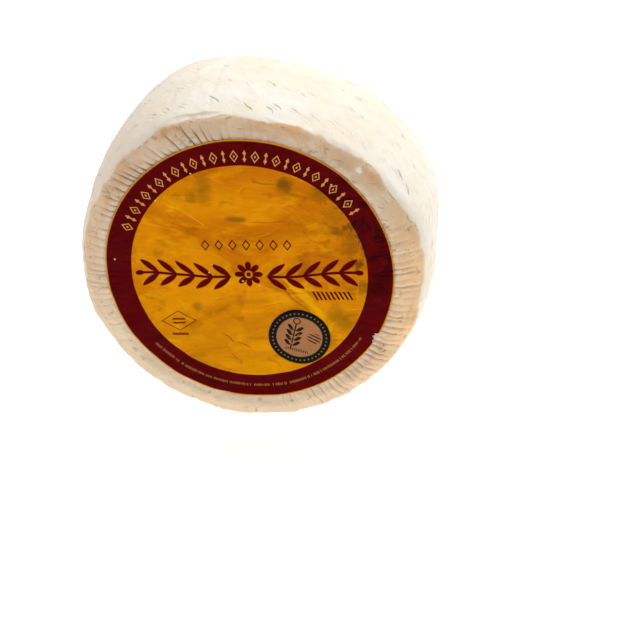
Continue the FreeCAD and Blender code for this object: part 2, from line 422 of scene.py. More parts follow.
def rindLumps(ring, angle, behind, radius):
    # how far each point of a ring lies inside the even drum, less than nothing where it stands out;
    # gives also where the noises that run round the drum are read
    around = np.column_stack([np.cos(angle), np.sin(angle), np.full(steps, behind * 4)])
    isFront = behind < halfThickness
    lump = rind["lump"] * (1 + 0.9 * bumpy(ring, rind["lumpScale"], 3, 1.7)) / 2
    lump += rind["roughness"] * np.clip(0.4 + bumpy(ring, rind["roughScale"], 3, 4.4), 0, 1.2)
    nearCrest = bell(radius, rind["crestRadius"], rind["crestSpread"])
    crest = np.clip(0.5 + bumpy(around, rind["crestWanderScale"], 3, 5.2), 0, 1.2)
    lump += rind["crestWander"] * nearCrest * crest
    lump -= nearCrest * (rind["crestPush"] + bells(rind["bulges"], angle))
    lump -= bells(rind["uneven"], angle) * np.clip((radius - rind["unevenFrom"]) / rind["unevenOver"], 0, 1)
    if isOnSide(behind):
        fromSeam = turnedFrom(np.degrees(angle), rind["seamAngle"])
        lump += rind["seamDepth"] * bell(fromSeam, 0, rind["seamSpread"])
    if isFront:
        inside = labelReach(angle) + rind["pastLabel"] - radius
        lump += rind["underLabel"] * np.clip(inside / rind["underLabelOver"], 0, 1)
    shift = 0 if isFront else rind["backShift"]
    lump += dents(ring[:, 0] + shift, ring[:, 2]) * onFace(radius)
    return lump, around


def isOnSide(behind):
    return min(behind, 2 * halfThickness - behind) > rind["rimDrop"] + rind["crestRounding"]


def rindRing(behind, radius, pushBack, pushOut):
    # one ring of points, and what its colours are made from
    angle = leaningAngles(radius)
    isFront = behind < halfThickness
    isSide = isOnSide(behind)
    ring = np.column_stack([
        radius * np.cos(angle),
        np.full(steps, behind - halfThickness),
        radius * np.sin(angle),
    ])
    lump, around = rindLumps(ring, angle, behind, radius)
    groove = np.zeros(steps) if isSide else pleatCut(radius, pleats["strong"])
    lipMiddle, lipSpread, lipDepth = rind["lip"]
    lipAlong = bell(turnedFrom(np.degrees(angle), lipMiddle), 0, lipSpread) * isFront
    lump += lipDepth * lipAlong * bell(behind, *rind["lipAt"]) + groove
    direction = np.column_stack([
        pushOut * np.cos(angle),
        np.full(steps, pushBack),
        pushOut * np.sin(angle),
    ])
    wander = rind["whiteWander"] * bumpy(around, rind["whiteWanderScale"], 3, 2.8)
    turnedWhite = np.clip((radius + wander - rind["whiteFrom"]) / rind["whiteOver"], 0, 1)
    reach = labelReach(angle) if isFront else np.full(steps, labelRadius)
    values = {
        "groove": groove / pleats["depth"],
        "side": np.full(steps, 1.0) if isSide else turnedWhite,
        "outwards": np.clip((radius - reach) / (rind["crestRadius"] - reach), 0, 1),
        # painted shadow line under the fold along the crest
        "lip": lipAlong * bell(behind, *rind["lipShade"]),
    }
    return ring - direction * lump[:, None], values


def rindPoints():
    front = drumOutline()
    back = front[::-1][1:].copy()
    back[:, 0] = 2 * halfThickness - back[:, 0]
    outline = np.vstack([front, back])
    tangent = np.gradient(outline, axis=0)
    outward = np.column_stack([-tangent[:, 1], tangent[:, 0]])
    outward /= np.linalg.norm(outward, axis=1)[:, None]
    rings = [rindRing(*place, *push) for place, push in zip(outline, outward)]
    points = np.vstack([ring for ring, kept in rings])
    # the bulges are cut off where they would stand out past the solid, and the foot is flat
    points[:, 0] = np.clip(points[:, 0], -bellyRadius, bellyRadius)
    points[:, 2] = np.clip(points[:, 2] + axisHeight, 0, drumHigh.z)
    # the two middle points get no groove, no side and no lip
    values = {
        key: np.concatenate([*(kept[key] for ring, kept in rings), [0, 0]])
        for key in ("groove", "side", "outwards", "lip")
    }
    return len(outline), points, values


def makeRind():
    rings, points, values = rindPoints()
    front = points[:steps].mean(axis=0)
    back = points[-steps:].mean(axis=0)
    piece = meshPiece("rind", np.vstack([points, front, back]), closedFaces(rings, steps), values)
    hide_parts("cheese")
    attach(piece, "root")
    return piece


rindLook = dict(
    cream=linear(250, 238, 218),
    ivory=linear(252, 246, 236),
    rosy=linear(250, 228, 206),
    tan=linear(240, 210, 176),
    deepTan=linear(226, 188, 149),
    nearLabel=linear(238, 218, 198),
    paleFoot=linear(244, 222, 190),
    warmRight=linear(246, 206, 158),
    rust=linear(226, 172, 122),
    olive=linear(196, 172, 104),
    grooveShade=linear(138, 112, 90),
    mark=linear(202, 172, 104),
    darkMark=linear(170, 144, 92),
    flaw=linear(168, 130, 96),
    rough=0.62,
    patchScales=(30.0, 44.0),
    mottleScale=110.0,
    grainScale=700.0,
    flawScale=230.0,
    foot=(-0.35, -0.94),  # the way in which the rim gets paler, in front view
    flecks=[(0.0505, 0.0583, 0.0013, 0.0011), (0.0512, 0.0572, 0.0008, 0.0007)],  # right, up, half sizes
)
# the marks of a plaited mould: groups of slanted strokes in rows round the side
plait = dict(
    firstRow=-0.0285,
    rowPitch=0.0190,
    groups=54,
    pitch=0.0024,
    slant=40.0,
    shortest=0.0016,  # half a stroke's length
    longer=0.0022,
    halfWidth=0.00055,
    waver=0.0064,
    waverScale=95.0,
)


def plaitMarks(look):
    # 0 to 1 on the strokes, and how marked each one is
    here = look.place(shift=(0, 0, axisHeight))
    values = {"Vector": here, "Scale": plait["waverScale"], "Detail": 2.0}
    waver = look.node("TexNoise", {"noise_dimensions": "3D"}, values, out="Color")
    centred = look.node("VectorMath", {"operation": "SUBTRACT"}, {0: waver, 1: (0.5, 0.5, 0.5)})
    moved = look.scaled(centred, plait["waver"])
    x, y, z = look.split(look.node("VectorMath", {"operation": "ADD"}, {0: here, 1: moved}))
    around = z.math("ARCTAN2", x) / (2 * math.pi) * plait["groups"]
    fromFirst = y - plait["firstRow"]
    row = (fromFirst / plait["rowPitch"] + 0.5).floor()
    across = fromFirst - row * plait["rowPitch"]
    # every second row is shifted by half a group
    shifted = around + (row % 2) * 0.5
    group = shifted.floor()
    groupWidth = 2 * math.pi * bellyRadius / plait["groups"]
    along = (shifted - group - 0.5) * groupWidth
    lean = math.radians(plait["slant"])
    onStroke = along * math.cos(lean) + across * math.sin(lean)
    offStroke = across * math.cos(lean) - along * math.sin(lean)
    number = (offStroke / plait["pitch"] + 0.5).floor()
    nearest = abs(offStroke - number * plait["pitch"])
    cell = look.node("CombineXYZ", values={0: group, 1: row, 2: number})
    chance = look.node("TexWhiteNoise", {"noise_dimensions": "3D"}, {"Vector": cell})
    taper = (abs(onStroke) / (plait["shortest"] + chance * plait["longer"])) ** 2
    stroke = look.fade(nearest / plait["halfWidth"] + taper, 1.25, 0.55)
    few = look.fade(abs(number + 0.2), 1.9, 1.6)
    inRows = look.fade(abs(y), 0.040, 0.036)
    return stroke * few * inRows, chance


def rindBand(look, right, behind, outwards, foot, noises):
    # tan rim, paler at the foot, next to the label and on the back, warmer on the right,
    # with rust where it meets the side
    palette = rindLook
    patches, otherPatches, mottled = noises
    onFront = look.fade(behind, 0.0, -0.01)
    onBack = look.fade(behind, 0.0, 0.01)
    near = look.fade(outwards + (mottled - 0.5) * 0.5, 0.50, 0.0) * onFront
    meeting = look.fade(abs(outwards - 0.86), 0.26, 0.10) * (1 - foot)
    return look.layers(
        look.blend(look.fade(patches, 0.38, 0.62), palette["tan"], palette["deepTan"]),
        (near, 0.6, palette["nearLabel"]),
        (onBack, 0.55, palette["nearLabel"]),
        (foot, 0.8, palette["paleFoot"]),
        (look.fade(right, 0.060, 0.076), 0.8, palette["warmRight"]),
        (look.fade(mottled, 0.50, 0.72), 0.4, palette["cream"]),
        (meeting * look.fade(otherPatches, 0.50, 0.62), 0.8, palette["rust"]),
    )


def rindMaterial():
    palette = rindLook
    look = Finish("rind_dry_goat_cheese")
    here = look.place()
    right, behind, up = look.split(look.place(shift=(0, 0, axisHeight)))
    side, groove, outwards, lip = [look.attribute(name) for name in ("side", "groove", "outwards", "lip")]
    patchScale, otherScale = palette["patchScales"]
    patches = look.noise(here, patchScale, 4.0, 0.6, 0.4)
    otherPatches = look.noise(look.place(shift=(0.3, 0.1, 0.2)), otherScale, 4.0, 0.6, 0.6)
    mottled = look.noise(here, palette["mottleScale"], 4.0, 0.65)
    grain = look.noise(here, palette["grainScale"], 3.0, 0.6)
    flaws = look.noise(look.place(scale=(1.0, 1.0, 1.6)), palette["flawScale"], 2.0, 0.5, 1.2)
    strokes, chance = plaitMarks(look)

    footRight, footUp = palette["foot"]
    foot = look.fade(right * footRight + up * footUp, 0.010, 0.062)
    band = rindBand(look, right, behind, outwards, foot, (patches, otherPatches, mottled))
    white = look.layers(
        look.blend(look.fade(patches, 0.35, 0.7), palette["cream"], palette["ivory"]),
        (look.fade(right, -0.030, -0.078), 0.7, palette["rosy"]),
    )
    onSide = look.fade(side + (patches - 0.5) * 0.7 + (mottled - 0.5) * 0.6, 0.18, 0.72)
    onRim = 1 - onSide
    verge = look.fade(abs(onSide - 0.5), 0.42, 0.10) * look.fade(mottled, 0.52, 0.64) * (1 - foot)

    # plait marks: most of them hardly show, some are ochre, a few are dark
    onStrokes = strokes * side
    seen = look.fade(chance + (patches - 0.5) * 1.2, 0.42, 0.85) * look.fade(mottled, 0.40, 0.60)
    dark = look.fade(chance, 0.93, 0.96) * look.fade(mottled, 0.48, 0.58)
    # small rough marks all over the rim, and painted highlights on the ridges between the pleats
    flawed = look.fade(flaws, 0.60, 0.70) * look.fade(mottled, 0.42, 0.56)
    flawed = flawed * onRim * look.fade(outwards, 0.0, 0.1)
    ridgeHighlights = look.fade(groove, 0.10, 0.0) * look.fade(outwards, 0.62, 0.10) * look.fade(flaws, 0.50, 0.40)
    colour = look.layers(
        look.blend(onSide, band, white),
        (verge, 0.8, palette["olive"]),
        (look.fade(groove, 0.22, 0.85), 0.62, palette["grooveShade"]),
        # painted shadow line under the fold along the crest
        (look.fade(lip, 0.15, 0.9), 0.5, palette["olive"]),
        (onStrokes * seen, 0.75, palette["mark"]),
        (onStrokes * dark, 0.55, palette["darkMark"]),
        (flawed, 0.50, palette["flaw"]),
        # painted highlights on the pleat ridges
        (ridgeHighlights * onRim, 0.35, palette["cream"]),
    )
    # crumbs of curd on the front of the rim
    onFront = look.fade(behind, 0.0, -0.01)
    for place in palette["flecks"]:
        fleck = filled(look, ellipseAt(right, up, *place) + (mottled - 0.5) * 1.6)
        colour = look.blend(fleck * onFront, colour, palette["ivory"])

    bumps = grain * 0.10 + mottled * 0.7 + patches * 0.6 + otherPatches * 0.5
    height = bumps - flawed * 0.22 - onStrokes * (0.15 + seen * 0.4)
    settings = {
        "Base Color": colour,
        "Roughness": palette["rough"],
        "Specular IOR Level": 0.10,
        "Subsurface Weight": 0.12,
        "Subsurface Radius": (1.0, 0.6, 0.35),
        "Subsurface Scale": 0.004,
    }
    return look.surface(settings, height)


label = dict(
    # rings of points: from, to and how many, by their share of the way from the axis to the edge
    middleRings=(0.03, 0.68, 20),
    outerRings=(0.70, 1.0, 26),
    underShare=0.97,  # how far out the hidden underside starts
    underDepth=0.0025,
    thickness=0.00012,
    front=-0.00022,  # in front of the face
    tearMiddle=-26.0,
    tearSpan=3.3,  # degrees each side
    tearDepth=0.0030,
    tearSteepness=(7, 1.5),  # on its upper and its lower side
    tearRagged=0.25,  # share of the depth
    tearTeeth=3.1,
    tilt=3.5,  # degrees that the print is turned
)


def labelReach(angle):
    # from the drum's axis to the paper's edge
    offX = labelMiddle.x
    offZ = labelMiddle.z - axisHeight
    alongMiddle = offX * np.cos(angle) + offZ * np.sin(angle)
    reach = alongMiddle + np.sqrt(labelRadius**2 - (offX**2 + offZ**2 - alongMiddle**2))
    torn = turnedFrom(np.degrees(angle), label["tearMiddle"]) / label["tearSpan"]
    # steep on its upper side, running out on its lower side
    upper, lower = label["tearSteepness"]
    bite = np.clip((1 - torn) * upper, 0, 1) * np.clip((torn + 1) / lower, 0, 1)
    ragged = 1 - label["tearRagged"] + label["tearRagged"] * np.sin(np.degrees(angle) * label["tearTeeth"])
    return reach - label["tearDepth"] * bite * (abs(torn) < 1) * ragged


def makeLabel():
    rows, grooveRows = [], []
    for share in [*np.linspace(*label["middleRings"]), *np.linspace(*label["outerRings"])]:
        angle = leaningAngles(labelReach(spokes) * share)
        radius = labelReach(angle) * share
        groove = pleatCut(radius, pleats["paperStrong"])
        x = radius * np.cos(angle)
        z = radius * np.sin(angle)
        lie = faceFall(radius) + dents(x, z) * onFace(radius) + groove * pleats["paperShare"]
        rows.append(np.column_stack([x, label["front"] - halfThickness + lie, z + axisHeight]))
        grooveRows.append(groove / pleats["depth"])
    edge = rows[-1] + np.array([0, label["thickness"], 0])
    under = edge.copy()
    under[:, 0] *= label["underShare"]
    under[:, 2] = axisHeight + (under[:, 2] - axisHeight) * label["underShare"]
    middle = rows[0].mean(axis=0)
    behind = middle + np.array([0, label["underDepth"], 0])
    points = np.vstack([*rows, edge, under, middle, behind])
    groove = np.concatenate([*grooveRows, grooveRows[-1], grooveRows[-1], [0, 0]])
    piece = meshPiece("paper_label", points, closedFaces(len(rows) + 2, steps), {"groove": groove})
    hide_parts("label")
    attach(piece, "root")
    return piece


labelLook = dict(
    rough=0.46,
    specular=0.025,
    foldTurn=-28,  # degrees: the soft folds run down to the right
    bump=0.0012,
    amber=linear(240, 149, 0),
    deepAmber=linear(213, 120, 0),
    brightAmber=linear(255, 182, 2),
    maroon=linear(98, 1, 5),
    deepMaroon=linear(74, 0, 4),
    shadedMaroon=linear(36, 0, 4),
    orange=linear(240, 160, 14),
    print=linear(232, 166, 84),
    stain=linear(96, 70, 8),
    crease=linear(150, 78, 2),
    chalk=linear(250, 226, 176),
    ring=(0.8184, 0.9925),  # of the label's radius
    # stains: right, up, half width, half height, strength, all in label radii
    stains=[
        (0.257, 0.694, 0.050, 0.045, 0.9),
        (-0.083, 0.408, 0.075, 0.022, 0.8),
        (-0.300, 0.640, 0.050, 0.120, 0.45),
        (-0.376, 0.560, 0.040, 0.040, 0.6),
        (0.600, 0.480, 0.090, 0.060, 0.35),
        (0.700, 0.310, 0.060, 0.120, 0.55),
        (-0.376, -0.281, 0.040, 0.030, 0.6),
        (0.650, -0.330, 0.090, 0.080, 0.6),
        (0.560, -0.500, 0.060, 0.070, 0.5),
    ],
    # creases with painted shade along them and folds with painted highlights along them: from, to, half
    # width, strength, all in label radii
    darkLines=[
        ((-0.20, -0.49), (-0.11, -0.56), 0.007, 0.75),
        ((-0.11, -0.56), (0.01, -0.59), 0.006, 0.6),
        ((0.16, -0.60), (0.29, -0.68), 0.006, 0.6),
        ((-0.14, -0.65), (-0.06, -0.73), 0.006, 0.5),
        ((0.01, 0.72), (0.19, 0.70), 0.005, 0.6),
        ((0.01, 0.41), (0.27, 0.40), 0.005, 0.5),
        ((0.30, 0.20), (0.44, 0.02), 0.005, 0.4),
        ((0.15, -0.03), (0.55, -0.39), 0.006, 0.6),
        ((-0.62, 0.10), (-0.48, 0.02), 0.006, 0.4),
    ],
    brightLines=[
        ((0.19, 0.01), (0.60, -0.345), 0.024, 1.0),
        ((-0.57, 0.53), (-0.44, 0.47), 0.009, 0.9),
        ((-0.44, 0.47), (-0.302, 0.345), 0.009, 0.9),
        ((-0.55, -0.18), (-0.30, -0.40), 0.012, 0.35),
    ],
)


def ellipseAt(right, up, middleRight, middleUp, halfWidth, halfHeight):
    # under 1 inside
    return lengthOf((right - middleRight) / halfWidth, (up - middleUp) / halfHeight)


def filled(look, shape, soft=0.12):
    # 1 where a shape's value is under 1
    return look.fade(shape, 1 + soft, 1 - soft)


def lined(look, shape, width):
    # 1 in a line of that width, as a share of the shape's size, just inside its outline
    return look.fade(shape, 1.04, 0.98) * look.fade(shape, 0.98 - width, 1.04 - width)


def lineFrom(look, right, up, start, end, halfWidth):
    # 1 on a straight line with tapering ends
    way = (end[0] - start[0], end[1] - start[1])
    length = math.hypot(*way)
    wayRight, wayUp = way[0] / length, way[1] / length
    along = (right - start[0]) * wayRight + (up - start[1]) * wayUp
    off = (up - start[1]) * wayRight - (right - start[0]) * wayUp
    fromMiddle = abs(along - length / 2) / (length / 2)
    return look.fade(abs(off) / halfWidth + fromMiddle ** 3, 1.3, 0.5)


# two mirrored sprays of slanted leaves on a stem, with a flower between them, in label radii
spray = dict(
    start=0.13,
    pitch=0.124,  # from leaf to leaf
    leaves=5,
    lean=38,
    leafOff=0.052,  # from the stem to the middle of a leaf
    leafHalfLength=0.088,
    leafHalfWidth=0.0225,
    stem=0.0125,
    wave=(7.0, 0.018),  # of the stem: how fast, how high
    drop=0.005,
    tip=(0.762, 0.0, 0.030, 0.019),
    petalSpeed=4.0,  # half the number of petals
    petalLength=0.062,
    flowerRadius=0.036,
)


def leafSpray(look, right, up):
    outward = abs(right)
    speed, high = spray["wave"]
    height = up + spray["drop"] + (outward * speed).math("SINE") * high
    fromStart = outward - spray["start"]
    number = (fromStart / spray["pitch"]).floor()
    local = fromStart - (number + 0.5) * spray["pitch"]
    beside = abs(height)
    fromLeaf = beside - spray["leafOff"]
    lean = math.radians(spray["lean"])
    along = local * math.cos(lean) + fromLeaf * math.sin(lean)
    off = fromLeaf * math.cos(lean) - local * math.sin(lean)
    halfLength = spray["leafHalfLength"]
    width = (1 - (along / halfLength) ** 2) * spray["leafHalfWidth"]
    leaf = look.fade(abs(off) - width, 0.004, -0.004)
    leaf = leaf * look.fade(abs(along), halfLength + 0.002, halfLength - 0.004)
    last = spray["leaves"] - 1
    leaf = leaf * look.fade(number, -0.6, -0.4) * look.fade(number, last + 0.6, last + 0.4)
    stem = look.fade(beside, spray["stem"], 0.008)
    stem = stem * look.fade(outward, 0.745, 0.735) * look.fade(outward, 0.12, 0.13)
    tip = filled(look, ellipseAt(outward, height, *spray["tip"]), 0.1)
    turn = up.math("ARCTAN2", right)
    distance = lengthOf(right, up)
    petals = abs((turn * spray["petalSpeed"]).math("COSINE")) ** 0.6 * spray["petalLength"]
    flower = look.fade(distance - (petals + spray["flowerRadius"]), 0.004, -0.004)
    flower = flower * look.fade(distance, 0.026, 0.032)
    heart = look.fade(distance, 0.018, 0.013)
    return strongest([leaf, stem, tip, flower, heart])


# the smaller marks: right and up of their middles, and half sizes, in label radii
marks = dict(
    lozengePitch=0.094,
    lozenges=7,
    lozengeUp=0.225,
    lozenge=(0.030, 0.042),
    barPitch=0.030,
    barSlant=0.45,
    bar=(0.50, -0.168),
    barHalfLength=0.139,
    barHalfHeight=0.036,
    pointed=(-0.525, -0.372),
    pointedHalf=(0.125, 0.080),
    under=-0.478,
)


def smallMarks(look, right, up):
    # a row of lozenges above the sprays, a short hatched bar and a pointed mark below them
    number = (right / marks["lozengePitch"] + 0.5).floor()
    local = right - number * marks["lozengePitch"]
    halfWidth, halfHeight = marks["lozenge"]
    lozenge = abs(local) / halfWidth + abs(up - marks["lozengeUp"]) / halfHeight
    last = (marks["lozenges"] - 1) / 2
    row = lined(look, lozenge, 0.34) * look.fade(abs(number), last + 0.6, last + 0.4)

    slanted = right + up * marks["barSlant"]
    barRight, barUp = marks["bar"]
    dash = look.fade(abs(slanted / marks["barPitch"] % 1.0 - 0.5), 0.30, 0.20)
    bar = dash * look.fade(abs(up - barUp), marks["barHalfHeight"], 0.031)
    bar = bar * look.fade(abs(slanted - barRight), marks["barHalfLength"], 0.135)

    pointedRight, pointedUp = marks["pointed"]
    across = abs(right - pointedRight)
    over = abs(up - pointedUp)
    halfWidth, halfHeight = marks["pointedHalf"]
    outlineMark = lined(look, across / halfWidth + over / halfHeight, 0.10)
    bars = look.fade(abs(over - 0.016), 0.010, 0.006) * look.fade(across + over * 1.2, 0.066, 0.060)
    under = look.fade(abs(up - marks["under"]), 0.011, 0.007) * look.fade(across, 0.060, 0.056)
    return row.larger(bar), strongest([outlineMark, bars, under])


# what goes round in the ring: degrees, and label radii
ornament = dict(
    radius=0.885,
    first=158.0,
    pitch=4.57,
    middle=13.5,  # number of the one in the middle
    reach=14.2,
    lozenge=(0.029, 0.043),
    dotOff=0.021,
    dot=0.0125,
    link=(0.005, 0.042),
    fineRadius=0.905,
    finePitch=0.62,
    fineMiddle=-87.5,
    fineReach=54.6,
    fineTall=0.006,  # and up to twice that
)


def ringOrnament(look, radius, degrees):
    # lozenges and pairs of dots in turn over the top of the ring, and fine dashes round its foot
    along = (ornament["first"] - degrees) / ornament["pitch"]
    number = along.floor()
    local = (along - number - 0.5) * (math.radians(ornament["pitch"]) * ornament["radius"])
    away = abs(radius - ornament["radius"])
    odd = number % 2
    halfWidth, halfHeight = ornament["lozenge"]
    lozenge = abs(local) / halfWidth + away / halfHeight
    first = lined(look, lozenge, 0.28).larger(look.fade(lozenge, 0.30, 0.2))
    dot = look.fade(lengthOf(local, away - ornament["dotOff"]), ornament["dot"], 0.009)
    halfWidth, halfHeight = ornament["link"]
    link = look.fade(abs(local), halfWidth, 0.003) * look.fade(away, halfHeight, 0.039)
    inReach = look.fade(abs(number - ornament["middle"]), ornament["reach"], ornament["reach"] - 0.4)
    upper = (first * (1 - odd) + dot.larger(link) * odd) * inReach

    fine = degrees / ornament["finePitch"]
    cell = fine.floor()
    chance = look.node("TexWhiteNoise", {"noise_dimensions": "1D"}, {"W": cell})
    dash = look.fade(abs(fine - cell - 0.5), 0.34, 0.24) * look.fade(chance, 0.18, 0.22)
    tall = ornament["fineTall"] + chance * ornament["fineTall"]
    lower = dash * look.fade(abs(radius - ornament["fineRadius"]) - tall, 0.002, -0.002)
    fineReach = ornament["fineReach"]
    lower = lower * look.fade(abs(degrees - ornament["fineMiddle"]), fineReach, fineReach - 0.3)
    return upper, lower


def amberGround(look, right, up, soft):
    # amber in soft folds, darker towards the top and the right, with brownish blotches, painted highlights
    # along the ridges of the folds and painted shade in their hollows
    palette = labelLook
    clouds, streaks, brownish, ridge, hollow = soft
    return look.layers(
        look.blend(look.fade(clouds, 0.38, 0.60), palette["deepAmber"], palette["amber"]),
        (look.fade(streaks, 0.52, 0.74), 0.55, palette["brightAmber"]),
        (look.fade(right + up * 0.5, 0.25, 0.85), 0.5, palette["deepAmber"]),
        (look.fade(up, 0.1, -0.6), 0.3, palette["brightAmber"]),
        (look.fade(up, 0.40, 0.80), 0.5, palette["deepAmber"]),
        # painted highlights along the ridges of the folds
        (ridge, 0.30, palette["brightAmber"]),
        # painted shade in the hollows of the folds
        (hollow, 0.28, palette["crease"]),
        (look.fade(brownish, 0.56, 0.74), 0.35, palette["crease"]),
    )


def dampStains(look, right, up, radius, degrees, blotch):
    # most of them lie near the edge of the amber, with a mottled fringe inside the right of the ring
    spots = []
    for middleRight, middleUp, halfWidth, halfHeight, strength in labelLook["stains"]:
        shape = ellipseAt(right, up, middleRight, middleUp, halfWidth * 1.6, halfHeight * 1.6)
        spots.append(look.fade(shape + (blotch - 0.5) * 1.8, 1.0, 0.1) * strength)
    fringe = look.fade(radius + (blotch - 0.5) * 0.25, 0.60, 0.80) * look.fade(abs(degrees - 18), 44, 12)
    return strongest([*spots, fringe * look.fade(blotch, 0.44, 0.60) * 0.95])


def labelMaterial():
    palette = labelLook
    look = Finish("label_printed_paper")
    inRadii = 1 / labelRadius
    shift = tuple(labelMiddle)
    flat = look.place(shift=shift, scale=(inRadii,) * 3)
    right, _, up = look.split(flat)
    turned = look.place(shift=shift, turn=(0, math.radians(label["tilt"]), 0))
    turnedRight, _, turnedUp = look.split(look.scaled(turned, inRadii))
    radius = lengthOf(right, up)
    degrees = turnedUp.math("ARCTAN2", turnedRight) * (180 / math.pi)
    groove = look.attribute("groove")

    foldTurn = (0, math.radians(palette["foldTurn"]), 0)
    folded = look.place(shift=shift, turn=foldTurn, scale=(inRadii, inRadii, inRadii * 2.0))
    clouds = look.noise(folded, 1.7, 3.0, 0.5, 0.9)
    streaks = look.noise(folded, 4.2, 4.0, 0.55, 0.8)
    blotch = look.noise(flat, 9.0, 4.0, 0.65, 0.8)
    folds = look.noise(folded, 2.2, 2.0, 0.4, 0.7)
    # where painted highlights and painted shade lie along the folds; they also shape the bump
    ridge = look.fade(abs(folds - 0.52), 0.040, 0.0) * look.fade(blotch, 0.42, 0.58)
    hollow = look.fade(abs(folds - 0.46), 0.035, 0.0) * look.fade(blotch, 0.44, 0.60)
    brownish = look.noise(flat, 4.4, 3.0, 0.55, 0.5)

    waverRight = right + (streaks - 0.5) * 0.10
    waverUp = up + (clouds - 0.5) * 0.16 + (blotch - 0.5) * 0.03

    def linesOf(lines):
        return strongest([
            lineFrom(look, waverRight, waverUp, start, end, halfWidth) * strength
            for start, end, halfWidth, strength in lines
        ])

    crease = linesOf(palette["darkLines"])
    shine = linesOf(palette["brightLines"])
    # painted shade where the paper dips into the pleat grooves near its edge
    pressedShade = look.fade(radius, 0.66, 0.82) * look.fade(groove, 0.0, 0.45)
    maroonPrint, thinPrint = smallMarks(look, turnedRight, turnedUp)
    ink = strongest([leafSpray(look, turnedRight, turnedUp), maroonPrint, thinPrint * 0.85])
    colour = look.layers(
        amberGround(look, right, up, (clouds, streaks, brownish, ridge, hollow)),
        # painted shade along the creases
        (crease, 0.8, palette["crease"]),
        # painted highlights along the folds
        (shine, 0.8, palette["brightAmber"]),
        (dampStains(look, right, up, radius, degrees, blotch), 0.8, palette["stain"]),
        (pressedShade, 0.40, palette["crease"]),
        (ink, 1.0, palette["maroon"]),
    )

    # the ring, with painted shade in its folds and mottled painted shade over its right side, and the thin
    # line round it
    inner, outer = palette["ring"]
    shaded = look.fade(abs(degrees - 18), 44, 14) * look.fade(blotch, 0.44, 0.58)
    upper, lower = ringOrnament(look, radius, degrees)
    ring = look.layers(
        look.blend(look.fade(streaks, 0.4, 0.7) * 0.6, palette["maroon"], palette["deepMaroon"]),
        # painted shade in the folds
        (look.fade(groove, 0.1, 0.6), 0.6, palette["shadedMaroon"]),
        # mottled painted shade over the right side
        (shaded, 0.6, palette["shadedMaroon"]),
        (upper, 0.92, palette["print"]),
        (lower, 0.42, palette["print"]),
    )
    # a few crumbs of chalky rind lie on it
    crumbs = look.node("TexVoronoi", {"feature": "F1"}, {"Vector": flat, "Scale": 6.5, "Randomness": 1.0})
    colour = look.layers(
        colour,
        (look.fade(radius, inner - 0.003, inner + 0.003), 1.0, ring),
        (look.fade(radius, outer - 0.003, outer + 0.002), 1.0, palette["orange"]),
        (look.fade(crumbs, 0.055, 0.03), 0.8, palette["chalk"]),
    )

    height = clouds * 1.3 + streaks * 0.55 + ridge * 0.10 - hollow * 0.06 - crease * 0.14 + shine * 0.12
    settings = {
        "Base Color": colour,
        "Roughness": palette["rough"] + streaks * 0.12,
        "Specular IOR Level": palette["specular"],
    }
    return look.surface(settings, height, palette["bump"])


seal = dict(
    rings=12,
    steps=160,
    innerRing=0.08,  # share of the way to the edge
    front=0.00042,  # in front of the face
    liesOn=0.8,  # how far it follows the dents, and the most it does
    deepest=0.0012,
    thickness=0.0004,
    turn=-12.0,
)
sealLook = dict(
    dark=linear(26, 22, 16),
    tan=linear(188, 130, 84),
    wornTan=linear(140, 92, 62),
    print=linear(150, 132, 104),
    emblem=linear(44, 26, 22),
    rough=0.46,
    specular=0.03,
    wearScale=420.0,
    inner=0.745,
    beadsAt=0.87,
    beadPitch=9.0,  # degrees
    bead=0.034,
    branch=(-0.20, 0.04),  # right and up, in seal radii
    branchScale=(0.80, 0.88),
    oval=(0.47, 0.08, 0.23, 0.19),  # right, up, half width, half height
)


def makeSeal():
    count = seal["steps"]
    angles = np.arange(count) * 2 * math.pi / count
    rows = []
    for share in np.linspace(seal["innerRing"], 1.0, seal["rings"]):
        x = sealMiddle.x + sealRadius * share * np.cos(angles)
        z = sealMiddle.z - axisHeight + sealRadius * share * np.sin(angles)
        lie = np.minimum(dents(x, z) * seal["liesOn"], seal["deepest"])
        rows.append(np.column_stack([x, lie - halfThickness - seal["front"], z + axisHeight]))
    edge = rows[-1] + np.array([0, seal["thickness"], 0])
    middle = rows[0].mean(axis=0)
    points = np.vstack([*rows, edge, middle, middle + np.array([0, seal["deepest"], 0])])
    piece = meshPiece("round_seal", points, closedFaces(len(rows) + 1, count))
    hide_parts("seal")
    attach(piece, "root")
    return piece


# an upright stem with leaves in pairs and a small ring above it, in seal radii
sprigShape = dict(
    start=-0.36,
    pitch=0.17,
    lean=50,
    leafOff=0.12,
    leafHalf=(0.135, 0.048),
    stem=0.022,
    bud=(0.0, 0.47, 0.10, 0.10),
)


def sprig(look, right, up):
    fromStart = up - sprigShape["start"]
    number = (fromStart / sprigShape["pitch"]).floor()
    local = fromStart - (number + 0.5) * sprigShape["pitch"]
    beside = abs(right)
    fromLeaf = beside - sprigShape["leafOff"]
    lean = math.radians(sprigShape["lean"])
    along = fromLeaf * math.cos(lean) + local * math.sin(lean)
    off = local * math.cos(lean) - fromLeaf * math.sin(lean)
    halfLength, halfWidth = sprigShape["leafHalf"]
    leaf = filled(look, lengthOf(along / halfLength, off / halfWidth), 0.1)
    leaves = leaf * look.fade(abs(number - 1.5), 2.1, 1.9)
    stem = look.fade(beside, sprigShape["stem"], 0.014) * look.fade(abs(up + 0.06), 0.44, 0.42)
    bud = lined(look, ellipseAt(right, up, *sprigShape["bud"]), 0.3)
    return strongest([leaves, stem, bud])


